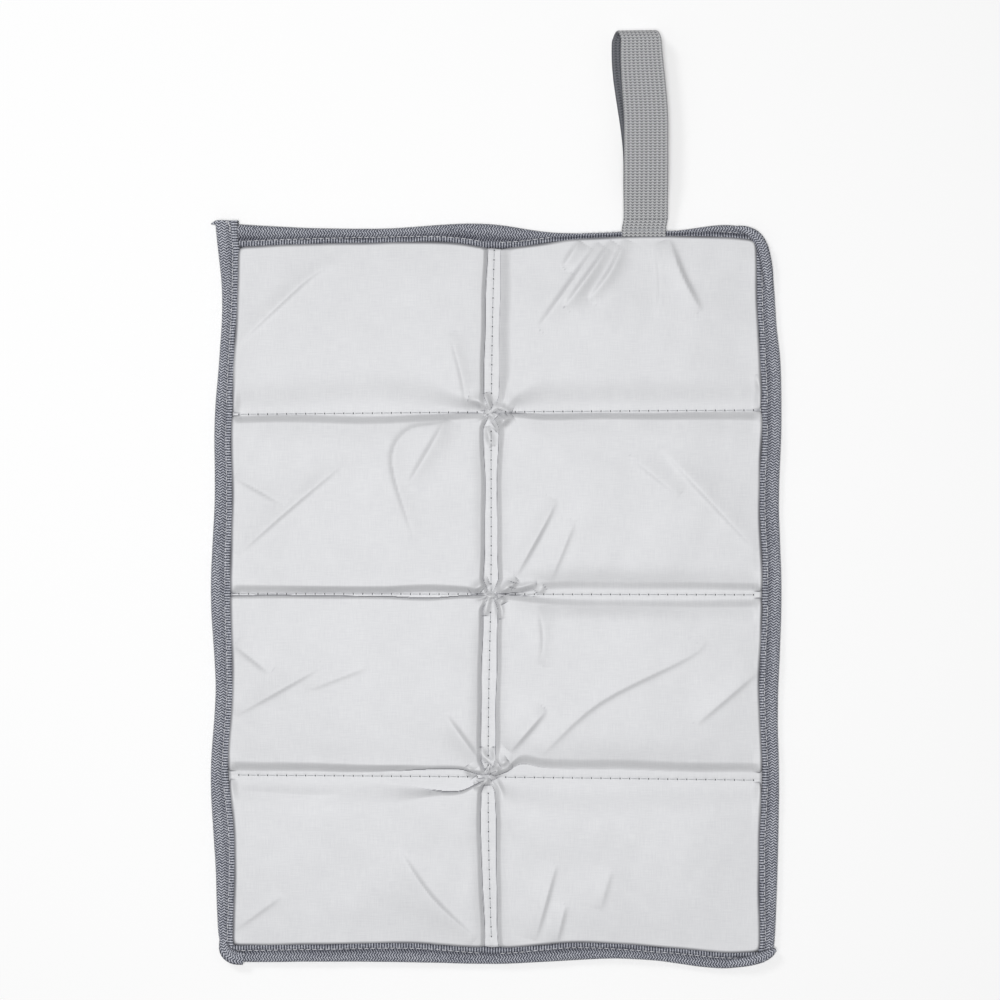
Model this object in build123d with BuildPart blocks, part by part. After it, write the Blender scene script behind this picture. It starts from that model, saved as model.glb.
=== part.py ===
"""Folding quilted foam pad: two columns of four foam panels, an edge tape and an elastic loop.

Millimetres, +Z up.  X runs across the two columns, +Y runs towards the elastic loop, and the
origin is the middle of the whole footprint, loop included, at floor level.
"""
from build123d import *
import os

# ---- driving dimensions ----------------------------------------------------------------------
pad_width = 300.0            # across both columns, tape included
pad_length = 390.0           # along the four rows, tape included
loop_reach = 99.0            # how far the elastic loop stands out past the pad's edge

foam_thickness = 5.0
fabric_thickness = 0.3
panel_thickness = foam_thickness + 2 * fabric_thickness

centre_seam_x = -3.0         # the centre seam is sewn a little to the left of the middle
centre_channel_left = 4.2    # sewn-flat fabric on each side of the centre seam
centre_channel_right = 4.2
column_gap = 0.4             # fold line between the flanges of the two columns

row_seams_from_pad_middle = (94.5, -1.0, -96.5)
row_channel_half = 5.0       # a panel's padding stops this far from a row seam
row_strip_half = 4.0         # half width of the flat fabric strip that lies in a row channel

tape_width = 11.0            # one folded face of the edge tape
tape_thickness = 2.0         # both faces and the fabric between them
tape_end_gap = 0.2           # tape pieces of a strip end this much inside the strip's edges
flange_inset = 1.0           # the fabric stops this far inside the folded edge of the tape

thread_width = 0.6
thread_height = 0.4

loop_centre_x = 77.5
elastic_width = 23.0
elastic_thickness = 1.2
loop_height = 8.2            # outside height of the open loop
loop_root_length = 10.5      # how far the two sewn ends run in over the edge tape
loop_root_gap = 0.6          # flex line between the sewn ends and the free loop
loop_opening_run = 10.5      # length over which the two layers spread to full height
bartack_length = 20.0
bartack_width = 2.0

# ---- positions that follow from them -----------------------------------------------------------
frame_shift = loop_reach / 2
edge_top_y = pad_length / 2 - frame_shift
edge_bottom_y = -pad_length / 2 - frame_shift
row_seams = [seam - frame_shift for seam in row_seams_from_pad_middle]
middle_z = panel_thickness / 2
tape_low_z = middle_z - tape_thickness / 2
tape_high_z = middle_z + tape_thickness / 2
flange_low_z = middle_z - fabric_thickness
flange_high_z = middle_z + fabric_thickness
loop_tip_y = edge_top_y + loop_reach

SIDES = ("left", "right")
ROWS = (1, 2, 3, 4)
SEAMS = (1, 2, 3)


def column_span(side):
    """X limits of a column, from the folded edge of the tape to the centre fold line."""
    if side == "left":
        return -pad_width / 2, centre_seam_x - column_gap / 2
    return centre_seam_x + column_gap / 2, pad_width / 2


def row_span(row):
    """Y limits of a row, from one row channel or pad edge to the next."""
    low = edge_bottom_y if row == 4 else row_seams[row - 1] + row_channel_half
    high = edge_top_y if row == 1 else row_seams[row - 2] - row_channel_half
    return low, high


def panel_outline(side, row):
    """Footprint (x low, x high, y low, y high) of one panel with its share of the edge tape."""
    return (*column_span(side), *row_span(row))


def strip_outline(side, seam, half_width):
    """Footprint of the flat fabric strip between rows seam and seam + 1."""
    middle = row_seams[seam - 1]
    return (*column_span(side), middle - half_width, middle + half_width)


def inset_outer_edges(outline, amount):
    """Move in only those sides of a footprint that lie on the pad's outer edge."""
    x_low, x_high, y_low, y_high = outline
    if x_low == -pad_width / 2:
        x_low += amount
    if x_high == pad_width / 2:
        x_high -= amount
    if y_low == edge_bottom_y:
        y_low += amount
    if y_high == edge_top_y:
        y_high -= amount
    return x_low, x_high, y_low, y_high


def padded_outline(side, row):
    """Footprint of the raised, foam-filled part of a panel, fabric included."""
    clear_of_tape = tape_width + fabric_thickness
    x_low, x_high, y_low, y_high = inset_outer_edges(panel_outline(side, row), clear_of_tape)
    if side == "left":
        x_high = centre_seam_x - centre_channel_left
    else:
        x_low = centre_seam_x + centre_channel_right
    return x_low, x_high, y_low, y_high


def shrink(outline, amount):
    """Move in all four sides of a footprint."""
    x_low, x_high, y_low, y_high = outline
    return x_low + amount, x_high - amount, y_low + amount, y_high - amount


def block(outline, z_low, z_high, mode=Mode.ADD):
    """A rectangular block over a footprint, inside the part that is being built."""
    x_low, x_high, y_low, y_high = outline
    centre = ((x_low + x_high) / 2, (y_low + y_high) / 2)
    with BuildSketch(Plane.XY.offset(z_low)) as footprint:
        with Locations(centre):
            Rectangle(x_high - x_low, y_high - y_low)
    extrude(footprint.sketch, amount=z_high - z_low, mode=mode)


def save(part, name):
    """Label one node and write its STEP file."""
    part.label = name
    export_step(part, f"parts/{name}.step")


def build_foam(side, row):
    """The foam slab that fills one panel."""
    with BuildPart() as foam:
        block(shrink(padded_outline(side, row), fabric_thickness),
              fabric_thickness, panel_thickness - fabric_thickness)
    save(foam.part, f"foam_{side}_{row}")


def build_top_cover(side, row):
    """Upper skin: a shallow tray over the foam with a flat sewing flange round it."""
    padded = padded_outline(side, row)
    with BuildPart() as cover:
        block(inset_outer_edges(panel_outline(side, row), flange_inset), middle_z, flange_high_z)
        block(padded, middle_z, panel_thickness)
        block(shrink(padded, fabric_thickness), middle_z, panel_thickness - fabric_thickness,
              mode=Mode.SUBTRACT)
    save(cover.part, f"top_cover_{side}_{row}")


def build_bottom_cover(side, row):
    """Lower skin: the same tray the other way up, lying on the ground."""
    padded = padded_outline(side, row)
    with BuildPart() as cover:
        block(inset_outer_edges(panel_outline(side, row), flange_inset), flange_low_z, middle_z)
        block(padded, 0, middle_z)
        block(shrink(padded, fabric_thickness), fabric_thickness, middle_z, mode=Mode.SUBTRACT)
    save(cover.part, f"bottom_cover_{side}_{row}")


def build_tape(outline, name):
    """Edge tape folded over the outer edges of a footprint, with a slot for the fabric."""
    with BuildPart() as tape:
        block(outline, tape_low_z, tape_high_z)
        block(inset_outer_edges(outline, tape_width), tape_low_z, tape_high_z,
              mode=Mode.SUBTRACT)
        block(inset_outer_edges(outline, flange_inset), flange_low_z, flange_high_z,
              mode=Mode.SUBTRACT)
    save(tape.part, name)


def build_row_strip(side, seam):
    """The two skins sewn flat together between two rows: the fold between panels."""
    outline = strip_outline(side, seam, row_strip_half)
    with BuildPart() as strip:
        block(inset_outer_edges(outline, flange_inset), flange_low_z, flange_high_z)
    save(strip.part, f"channel_{side}_{seam}")
    tape_outline = strip_outline(side, seam, row_strip_half - tape_end_gap)
    build_tape(tape_outline, f"channel_tape_{side}_{seam}")


def build_row_stitch(side, seam):
    """The thread of a row seam, on top of its strip and clear of the edge tape."""
    outline = strip_outline(side, seam, thread_width / 2)
    with BuildPart() as stitch:
        block(inset_outer_edges(outline, tape_width + thread_width),
              flange_high_z, flange_high_z + thread_height)
    save(stitch.part, f"row_stitch_{side}_{seam}")


def build_centre_stitch(row):
    """The thread of the centre seam along one row, on the left column's flange."""
    fold_edge = column_span("left")[1]
    _, _, y_low, y_high = inset_outer_edges(panel_outline("left", row), tape_width + thread_width)
    with BuildPart() as stitch:
        block((fold_edge - thread_width, fold_edge, y_low, y_high),
              flange_high_z, flange_high_z + thread_height)
    save(stitch.part, f"centre_stitch_{row}")


def build_elastic_loop():
    """Flat elastic doubled back on itself: the free, open part of the loop."""
    start_y = edge_top_y + loop_root_gap
    spread_y = start_y + loop_opening_run
    root_middle_z = tape_high_z + elastic_thickness
    end_radius = loop_height / 2
    bend_y = loop_tip_y - end_radius
    inner_radius = end_radius - elastic_thickness
    outer_low = [(start_y, tape_high_z), (spread_y, 0), (bend_y, 0)]
    outer_high = [(bend_y, loop_height), (spread_y, loop_height),
                  (start_y, root_middle_z + elastic_thickness)]
    inner_low = [(bend_y, elastic_thickness), (spread_y, elastic_thickness)]
    inner_high = [(spread_y, loop_height - elastic_thickness),
                  (bend_y, loop_height - elastic_thickness)]
    gap_start = (start_y + elastic_thickness, root_middle_z)
    across = Plane(origin=(loop_centre_x - elastic_width / 2, 0, 0),
                   x_dir=(0, 1, 0), z_dir=(1, 0, 0))
    with BuildPart() as loop:
        with BuildSketch(across):
            with BuildLine():
                Polyline(*outer_low)
                ThreePointArc(outer_low[-1], (bend_y + end_radius, end_radius), outer_high[0])
                Polyline(*outer_high)
                Line(outer_high[-1], outer_low[0])
            make_face()
            with BuildLine():
                Polyline(gap_start, inner_high[0], inner_high[1])
                ThreePointArc(inner_high[1], (bend_y + inner_radius, end_radius), inner_low[0])
                Polyline(*inner_low, gap_start)
            make_face(mode=Mode.SUBTRACT)
        extrude(amount=elastic_width)
    save(loop.part, "elastic_loop")


def build_loop_root():
    """The two ends of the elastic laid on top of each other and sewn over the edge tape."""
    outline = (loop_centre_x - elastic_width / 2, loop_centre_x + elastic_width / 2,
               edge_top_y - loop_root_length, edge_top_y)
    with BuildPart() as root:
        block(outline, tape_high_z, tape_high_z + 2 * elastic_thickness)
    save(root.part, "loop_root")


def build_bartack():
    """The dense bar of stitches that holds the elastic's ends to the edge."""
    middle_y = edge_top_y - loop_root_length / 2
    outline = (loop_centre_x - bartack_length / 2, loop_centre_x + bartack_length / 2,
               middle_y - bartack_width / 2, middle_y + bartack_width / 2)
    root_top_z = tape_high_z + 2 * elastic_thickness
    with BuildPart() as bartack:
        block(outline, root_top_z, root_top_z + thread_height)
    save(bartack.part, "bartack")


os.makedirs("parts", exist_ok=True)

for side in SIDES:
    for row in ROWS:
        build_foam(side, row)
        build_top_cover(side, row)
        build_bottom_cover(side, row)
        build_tape(panel_outline(side, row), f"edge_tape_{side}_{row}")
    for seam in SEAMS:
        build_row_strip(side, seam)
        build_row_stitch(side, seam)

for row in ROWS:
    build_centre_stitch(row)

build_elastic_loop()
build_loop_root()
build_bartack()
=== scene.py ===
"""Looks of the folding quilted foam pad: padded panels, sewn channels, edge tape and elastic loop."""
import math
import bpy
import numpy as np
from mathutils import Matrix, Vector


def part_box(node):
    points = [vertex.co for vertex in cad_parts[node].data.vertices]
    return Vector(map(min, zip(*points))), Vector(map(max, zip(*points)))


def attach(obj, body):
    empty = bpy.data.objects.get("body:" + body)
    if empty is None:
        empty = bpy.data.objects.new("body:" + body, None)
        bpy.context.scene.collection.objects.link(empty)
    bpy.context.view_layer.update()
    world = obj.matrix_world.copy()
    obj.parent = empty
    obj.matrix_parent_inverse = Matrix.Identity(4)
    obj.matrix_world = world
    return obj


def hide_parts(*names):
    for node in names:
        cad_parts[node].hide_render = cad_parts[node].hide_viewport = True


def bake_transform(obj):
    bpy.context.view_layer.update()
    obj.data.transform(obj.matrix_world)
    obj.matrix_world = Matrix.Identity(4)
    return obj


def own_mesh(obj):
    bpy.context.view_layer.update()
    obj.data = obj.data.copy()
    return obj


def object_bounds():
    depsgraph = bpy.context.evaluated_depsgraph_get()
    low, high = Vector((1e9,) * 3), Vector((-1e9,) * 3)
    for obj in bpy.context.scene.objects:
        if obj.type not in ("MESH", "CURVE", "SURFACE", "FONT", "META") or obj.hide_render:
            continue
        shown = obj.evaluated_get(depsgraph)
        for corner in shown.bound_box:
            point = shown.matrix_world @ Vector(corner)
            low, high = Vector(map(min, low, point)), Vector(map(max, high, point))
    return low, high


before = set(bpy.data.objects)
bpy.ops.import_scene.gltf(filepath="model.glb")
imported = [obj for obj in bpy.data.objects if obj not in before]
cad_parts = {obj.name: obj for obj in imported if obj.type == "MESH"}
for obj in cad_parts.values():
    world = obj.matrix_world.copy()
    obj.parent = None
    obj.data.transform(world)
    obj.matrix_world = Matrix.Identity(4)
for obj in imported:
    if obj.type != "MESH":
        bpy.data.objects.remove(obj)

CAD_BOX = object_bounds()
MM = 0.001
SIDES = ("left", "right")
ROWS = (1, 2, 3, 4)
SEAMS = (1, 2, 3)

# ---- places read from the frame, in millimetres --------------------------------------------------


def limits(node):
    """Lowest and highest corner of a CAD node in millimetres."""
    low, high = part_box(node)
    return np.array(low) / MM, np.array(high) / MM


X_LEFT, Y_BOTTOM = limits("edge_tape_left_4")[0][:2]
X_RIGHT, Y_TOP = limits("edge_tape_right_1")[1][:2]
PAD_X = (X_LEFT + X_RIGHT) / 2
PAD_Y = (Y_BOTTOM + Y_TOP) / 2
THICKNESS = limits("top_cover_left_1")[1][2]
MID_Z = THICKNESS / 2
ROW_SEAM = {seam: float(np.mean(limits(f"row_stitch_left_{seam}"), axis=0)[1]) for seam in SEAMS}
FABRIC = 0.3                 # thickness of the cover's cloth round the foam
CENTRE_LOW = limits("foam_left_2")[1][0] + FABRIC
CENTRE_HIGH = limits("foam_right_2")[0][0] - FABRIC
CENTRE_SEAM = (CENTRE_LOW + CENTRE_HIGH) / 2
CHANNEL_HALF = limits("foam_left_1")[0][1] - FABRIC - ROW_SEAM[1]
ROW_LOW = {row: float(limits(f"top_cover_left_{row}")[0][1]) for row in ROWS}
ROW_HIGH = {row: float(limits(f"top_cover_left_{row}")[1][1]) for row in ROWS}
COVER_LEFT = limits("top_cover_left_2")[0][0]
COVER_RIGHT = limits("top_cover_right_2")[1][0]
# Each edge as (place of its nominal line, direction inwards); the left and right ones run along Y.
EDGES = {"left": (X_LEFT, 1), "right": (X_RIGHT, -1), "top": (Y_TOP, -1), "bottom": (Y_BOTTOM, 1)}
TAPE_INSIDE = 11.0           # nominal width of the folded tape, seen from above

# ---- shape settings, in millimetres --------------------------------------------------------------

GRID_STEP = 0.8
EDGE_CROWDING = 0.55         # grid lines stand closer together near the sides of a piece
FLANGE_Z = 0.35              # half thickness of the cloth where it is sewn flat
PAD_RISE = 2.6               # how far the padding stands above the middle plane
CROWN_RISE = 0.8             # extra swell in the middle of a panel
SHOULDER = 2.1               # width over which a panel's edge curves up from a seam
FURTHER_IN = 3.5             # a gentle side reaches full height this many shoulders in
LOOSE_WAVES = ((0.22, 48, 7), (0.05, 17, 8))   # height, wavelength and seed of the cloth's waves
LOWEST_CLOTH = 0.16          # no pit or groove goes deeper than this above the middle plane
CREASE_GAIN = 2.0            # all creases are made this much higher than their list says
FOLD_ROUND = 0.7             # how round the top of a fold is
FOLD_DROP = 1.2              # width of the sharp side of a fold
GATHER_GAIN = 2.6            # the same for the tight gathers
STITCH_PITCH = 5.0
ELASTIC_RIBS = 10            # lengthwise ribs across the webbing
RIB_HEIGHT = 0.06
RIB_WIDTH = 23 / ELASTIC_RIBS
# SHARPEST_BEND also sets the curvature at which the painted shade in the cover's hollows is darkest.
SHARPEST_BEND = 4.0          # the curvature, per millimetre, that counts as fully hollow

# How far the folded edge of the tape lies inside the nominal outline, as (place along the edge,
# distance in), and the same for the tape's inner edge.  Places are measured from the pad's middle.
OUTER_EDGE = {
    "left": [(-195, 10.0), (-191, 7.3), (-183, 4.9), (-168, 3.5), (-150, 3.0), (-96, 0.2), (-51, 2.7),
             (0, 0.2), (48, 2.2), (94, 2.4), (126, 4.9), (150, 6.2), (165, 5.6), (178, 4.2),
             (195, 2.6)],
    "right": [(-195, 5.0), (-183, 3.9), (-155, 2.7), (-98, 1.6), (-66, 2.2), (0, 0.3), (48, 1.6),
              (95, 0.3), (125, 1.2), (137, 2.6), (166, 4.7), (178, 6.4), (184, 8.4), (188, 11.0),
              (195, 14.0)],
    "top": [(-150, 1.0), (-95, 3.8), (-65, 4.2), (-3, 1.8), (32, 6.3), (55, 6.3), (75, 5.2),
            (92, 5.2), (126, 2.6), (139, 5.6), (150, 9.0)],
    "bottom": [(-150, 8.0), (-143, 4.2), (-136, 1.2), (-131, 1.0), (-100, 1.2), (-40, 0.8), (0, 0.0),
               (35, 1.6), (65, 2.8), (85, 1.6), (96, 0.1), (108, -1.6), (120, -2.3), (132, -1.0),
               (140, 0.9), (150, 6.0)],
}
INNER_EDGE = {
    "left": [(-195, 12.0), (-120, 12.6), (-96, 10.0), (-50, 12.2), (0, 11.0), (50, 12.0), (90, 11.6),
             (112, 12.4), (150, 14.6), (195, 15.4)],
    "right": [(-195, 12.0), (-130, 12.4), (-98, 11.0), (-50, 12.6), (0, 10.8), (50, 12.4),
              (95, 11.0), (150, 13.6), (195, 14.2)],
    "top": [(-150, 15.0), (-110, 13.2), (-70, 12.2), (-20, 12.4), (-3, 14.6), (25, 12.6), (40, 10.4),
            (60, 9.2), (90, 8.6), (110, 8.8), (130, 10.0), (150, 12.4)],
    "bottom": [(-150, 10.2), (-90, 11.2), (-40, 11.6), (0, 9.0), (40, 12.0), (90, 9.4), (125, 6.6),
               (150, 8.0)],
}

# Where the row and centre stitch lines wander from their straight CAD lines.
ROW_WANDER = {1: [(-150, -1.2), (0, 0.2), (150, 1.3)],
              2: [(-150, 0.3), (0, 0.1), (150, -0.3)],
              3: [(-150, 0.8), (0, -0.4), (150, -2.2)]}
# Cloth left flat beside each row of stitches, as (x, flat above, softness above, flat below,
# softness below); a softer side takes longer to rise to the full thickness of the padding.
ROW_FLATS = {
    1: [(-140, 0.8, 10, 0.8, 2.0), (-40, 0.8, 10, 0.9, 2.0), (-12, 0.6, 3.0, 0.7, 1.5),
        (8, 0.2, 4.0, 0.5, 1.2), (25, 0.3, 9, 0.8, 1.8), (60, 0.4, 10, 0.9, 1.8),
        (140, 0.6, 10, 0.7, 2.6)],
    2: [(-140, 0.5, 2.4, 1.2, 0.9), (-60, 0.3, 2.1, 1.4, 0.7), (-35, 0.9, 2.3, 2.2, 0.7),
        (-18, 0.5, 2.0, 1.0, 0.7), (0, 0.4, 1.2, 0.4, 1.2), (25, 2.0, 2.2, 1.5, 1.8),
        (60, 2.0, 2.2, 2.2, 1.8), (140, 1.8, 2.2, 1.6, 2.4)],
    3: [(-140, 2.0, 2.8, 2.0, 8), (-60, 2.6, 2.0, 2.0, 8), (-36, 3.6, 1.2, 6.4, 2.0),
        (-18, 3.6, 1.0, 7.0, 0.8), (-4, 0.6, 1.0, 0.8, 1.2), (5, 2.6, 1.2, 0.6, 6),
        (12, 6.6, 2.4, 0.6, 9), (24, 5.4, 2.6, 0.6, 11), (62, 4.6, 2.7, 0.6, 11),
        (140, 3.8, 2.6, 0.8, 8)],
}
CENTRE_WANDER = [(-195, 0.9), (-130, -1.0), (-60, -1.0), (0, 0.2), (90, 0.4), (140, 1.0), (195, 2.4)]
# How the padding rises beside the centre seam, as (y, softness on the left, on the right, share of
# the rise that comes in the band right beside the seam).  The rest of the rise follows gently,
# further in on the panel.
CENTRE_RISE = [(-195, 1.1, 1.2, 0.55), (75, 1.1, 1.2, 0.55), (95, 1.1, 2.0, 0.70),
               (115, 1.1, 3.0, 0.85), (195, 1.1, 3.0, 0.85)]
# The same share beside the row seams, as (x, share).
ROW_BAND = {1: [(-140, 0.80), (140, 0.80)],
            2: [(-140, 0.85), (0, 0.85), (25, 0.42), (140, 0.42)],
            3: [(-140, 0.85), (0, 0.85), (20, 0.68), (140, 0.68)]}

# Creases in the cover: (points from the pad's middle, height, width of the soft side).
CREASES = [
    ([(-136, 130), (-116, 149), (-97, 166), (-84, 173)], 0.42, 5),
    ([(-24, 136), (-18, 114), (-15, 95)], 0.40, 4),
    ([(-26, 91), (-33, 78), (-46, 56)], 0.60, 5),
    ([(-14, 92), (-30, 88), (-47, 84), (-54, 67), (-42, 27)], 0.50, 6),
    ([(-136, 20), (-110, 43), (-79, 69)], 0.46, 6),
    ([(-137, 61), (-110, 46)], 0.34, 5),
    ([(-137, -64), (-91, -38)], 0.44, 6),
    ([(-100, -51), (-66, -38)], 0.30, 5),
    ([(-137, -27), (-118, -42)], 0.34, 5),
    ([(-8, -90), (-27, -64)], 0.60, 6),
    ([(-11, -182), (-34, -160), (-52, -134)], 0.60, 13),
    ([(-136, -103), (-102, -106), (-80, -105)], 0.35, 4),
    ([(-137, -176), (-112, -158)], 0.30, 6),
    ([(61, 184), (50, 168), (36, 149)], 0.95, 5),
    ([(54, 183), (38, 160), (22, 138)], 0.80, 7),
    ([(68, 185), (60, 168), (49, 153)], 0.75, 4),
    ([(44, 184), (35, 170)], 0.60, 5),
    ([(107, 147), (97, 166), (90, 185)], 0.70, 7),
    ([(84, 184), (86, 160), (84, 144)], 0.30, 7),
    ([(136, 114), (141, 101)], 0.45, 4),
    ([(10, 9), (26, 38), (31, 49)], 0.60, 6),
    ([(28, 6), (41, 38)], 0.36, 5),
    ([(87, 76), (107, 54), (137, 22)], 0.42, 7),
    ([(70, 72), (96, 51)], 0.32, 6),
    ([(23, -85), (54, -57), (101, -33), (110, -24)], 0.45, 7),
    ([(7, -83), (26, -61)], 0.60, 6),
    ([(104, -69), (137, -41)], 0.38, 6),
    ([(23, -7), (25, -25), (23, -38)], 0.40, 5),
    ([(20, -182), (31, -142)], 0.52, 6),
    ([(31, -184), (36, -163)], 0.45, 4),
    ([(54, -166), (60, -145)], 0.25, 5),
]

# Tight gathers where the centre seam crosses the row seams, in the same form.
GATHERS = [
    ([(-14.7, 101.2), (-8.5, 99.8), (-3.0, 96.2)], 0.6, 3.0),
    ([(-5.8, 104.6), (-4.0, 98.8), (-1.9, 94.2)], 0.7, 1.6),
    ([(-2.1, 97.5), (3, 96.4), (8, 94.2)], 0.8, 2.0),
    ([(8.5, 92.8), (4.5, 90.2), (-0.5, 84.9)], 0.9, 1.6),
    ([(5, 93.6), (1.5, 90.5), (-1.6, 88.1)], 0.6, 1.4),
    ([(-4.7, 87), (-3.6, 82), (-2.1, 76.6)], 0.5, 1.5),
    ([(-6.3, 94.3), (-3, 93.4), (-0.5, 91.2)], 0.6, 1.5),
    ([(-13.3, -0.2), (-8.4, 3.6), (-3.7, 5.4)], 0.7, 2.0),
    ([(-7.7, 0.6), (-4.5, -1.8), (0.3, -1.8)], 0.9, 1.4),
    ([(0.3, -1.8), (5.1, 2.2), (11.1, 7.0)], 0.7, 1.6),
    ([(9.1, 5.4), (8.3, 2.6)], 0.5, 1.3),
    ([(8.3, 1.0), (16.7, 3.6), (21.1, 4.2)], 0.5, 1.5),
    ([(21.1, -0.2), (25.5, 3.0)], 0.4, 1.4),
    ([(-3.7, -2.6), (-5.3, -8.2), (-5.7, -12.2)], 0.6, 1.5),
    ([(-0.5, -2.6), (1.5, -7.4), (2.3, -13.8)], 0.6, 1.5),
    ([(2.3, -2.6), (3.9, -5.8)], 0.5, 1.4),
    ([(-15.7, -91.1), (-11.3, -96.7)], 0.6, 1.5),
    ([(-7.7, -81.1), (-6.9, -85.1), (-3.7, -88.7), (-5.3, -93.1)], 0.6, 1.6),
    ([(-1.3, -81.1), (-0.5, -87.1), (-2.9, -90.3)], 0.6, 1.6),
    ([(-5.3, -92.3), (-2.1, -94.7), (-0.5, -97.9)], 0.8, 1.3),
    ([(-3.3, -92.3), (0.3, -93.1), (-1.3, -95.9)], 0.8, 1.3),
    ([(-5.3, -95.5), (-4.9, -101.1)], 0.8, 1.4),
    ([(-8.1, -97.5), (-8.1, -100.6), (-11.7, -101.1)], 0.6, 1.4),
    ([(1.9, -90.3), (5.9, -87.5)], 0.5, 1.5),
]

# ---- interpolation and noise ---------------------------------------------------------------------


def along(points, place):
    """Smooth interpolation through (place, value) points."""
    places, values = np.array(points, float).T
    slopes = np.gradient(values, places)
    place = np.clip(place, places[0], places[-1])
    span = np.clip(np.searchsorted(places, place, side="right") - 1, 0, len(places) - 2)
    width = places[span + 1] - places[span]
    t = (place - places[span]) / width
    return ((1 + 2 * t) * (1 - t) ** 2 * values[span] + t * (1 - t) ** 2 * width * slopes[span]
            + t ** 2 * (3 - 2 * t) * values[span + 1]
            + t ** 2 * (t - 1) * width * slopes[span + 1])


def smoothstep(low, high, value):
    """0 below low, 1 above high and a smooth rise between them."""
    t = np.clip((value - low) / (high - low), 0, 1)
    return t * t * (3 - 2 * t)


def ease(low, high, value):
    """Smoothstep of a single number."""
    return float(smoothstep(low, high, value))


def soft_min(a, b, radius):
    """The smaller of two distances, with the corner between them rounded."""
    mix = np.clip(0.5 + 0.5 * (b - a) / radius, 0, 1)
    return b * (1 - mix) + a * mix - radius * mix * (1 - mix)


def ripples(x, y, wavelength, seed):
    """Irregular waves of about one wavelength, between about -1 and 1."""
    rng = np.random.default_rng(seed)
    total = np.zeros_like(x)
    for _ in range(7):
        angle = rng.uniform(0, math.tau)
        number = math.tau / (wavelength * rng.uniform(0.7, 1.5))
        phase = rng.uniform(0, math.tau)
        total = total + np.sin(number * (x * math.cos(angle) + y * math.sin(angle)) + phase)
    return total / 3.2


def row_line(seam, x):
    """Y of a row's stitch line at x."""
    return ROW_SEAM[seam] + along(ROW_WANDER[seam], x - PAD_X)


def centre_line(y):
    """X of the centre stitch line at y."""
    return CENTRE_SEAM + along(CENTRE_WANDER, y - PAD_Y)


def edge_inset(table, x, y):
    """Distance of a point inside the wavy line of each outer edge, as a dict."""
    inset = {}
    for edge, (line, inward) in EDGES.items():
        across, place = (x, y - PAD_Y) if edge in SIDES else (y, x - PAD_X)
        inset[edge] = inward * (across - line) - along(table[edge], place)
    return inset


# ---- the surface of the quilted cover ------------------------------------------------------------


def finer(points, pieces=5):
    """A polyline rounded into short pieces that pass through its points, with any more columns."""
    points = np.array(points, float)
    place = np.arange(len(points))
    fine = np.linspace(0, len(points) - 1, pieces * (len(points) - 1) + 1)
    return np.stack([along(list(zip(place, column)), fine) for column in points.T], axis=1)


def travelled(line):
    """Distance along a polyline at each of its points."""
    return np.concatenate([[0], np.cumsum(np.linalg.norm(np.diff(line, axis=0), axis=1))])


def fold_height(folds, x, y):
    """Folds of the loose cloth: a gentle rise on one side and a sharp drop on the other."""
    total = np.zeros_like(x)
    for points, height, width in folds:
        line = finer(points) + np.array([PAD_X, PAD_Y])
        start = travelled(line)
        near = ((x > line[:, 0].min() - 30) & (x < line[:, 0].max() + 30)
                & (y > line[:, 1].min() - 30) & (y < line[:, 1].max() + 30))
        if not near.any():
            continue
        px, py = x[near], y[near]
        best = np.full(px.shape, 1e9)
        side = np.zeros(px.shape)
        place = np.zeros(px.shape)
        for i, length in enumerate(np.diff(start)):
            ax, ay = line[i]
            dx, dy = (line[i + 1] - line[i]) / length
            t = np.clip((px - ax) * dx + (py - ay) * dy, 0, length)
            ex, ey = px - ax - t * dx, py - ay - t * dy
            distance = np.hypot(ex, ey)
            closer = distance < best
            best = np.where(closer, distance, best)
            side = np.where(closer, dx * ey - dy * ex, side)
            place = np.where(closer, start[i] + t, place)
        share = np.clip(place / start[-1], 0, 1)
        taper = np.clip(4 * share * (1 - share), 0, 1) ** 0.8
        rounded = np.sqrt(best ** 2 + FOLD_ROUND ** 2) - FOLD_ROUND
        soft = np.exp(-(rounded / width) ** 1.3)
        sharp = np.exp(-(rounded / FOLD_DROP) ** 1.3)
        total[near] += height * taper * np.where(side > 0, soft, sharp)
    return total


def seam_gathers(away, wave, irregular, height, reach):
    """Small gathers of the cloth that die out with the distance from a seam."""
    return height * np.sin(wave) * irregular * np.exp(-away / reach) * smoothstep(0.4, 2.0, away)


def pucker_height(x, y):
    """Cloth gathered where two seams cross, and small gathers all along the seams."""
    total = np.zeros_like(x)
    for seam in SEAMS:
        cx, cy = centre_line(ROW_SEAM[seam]), row_line(seam, CENTRE_SEAM)
        # A star of folds round the crossing, twisted so that its arms aren't straight or regular.
        radius = np.hypot(x - cx, y - cy)
        angle = np.arctan2(y - cy, x - cx)
        twist = angle + 0.045 * radius + 0.25 * np.sin(3 * angle + seam)
        folds = 1 - 1.7 * np.abs(np.sin(3.5 * twist + 1.3 * seam)) ** 0.7
        folds = folds + 0.7 * np.sin(5 * twist - 2.0 * seam)
        total += 0.40 * folds * np.exp(-((radius - 3.0) / 5.0) ** 2) * smoothstep(0.0, 2.5, radius)
        total += seam_gathers(np.abs(y - row_line(seam, x)), x / 1.9 + 2.5 * np.sin(x / 11 + seam),
                              ripples(x, y * 0.2, 26, 20 + seam), 0.13, 7)
    return total + seam_gathers(np.abs(x - centre_line(y)), y / 1.7 + 2.2 * np.sin(y / 13),
                                ripples(x * 0.2, y, 24, 31), 0.12, 6)


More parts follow.
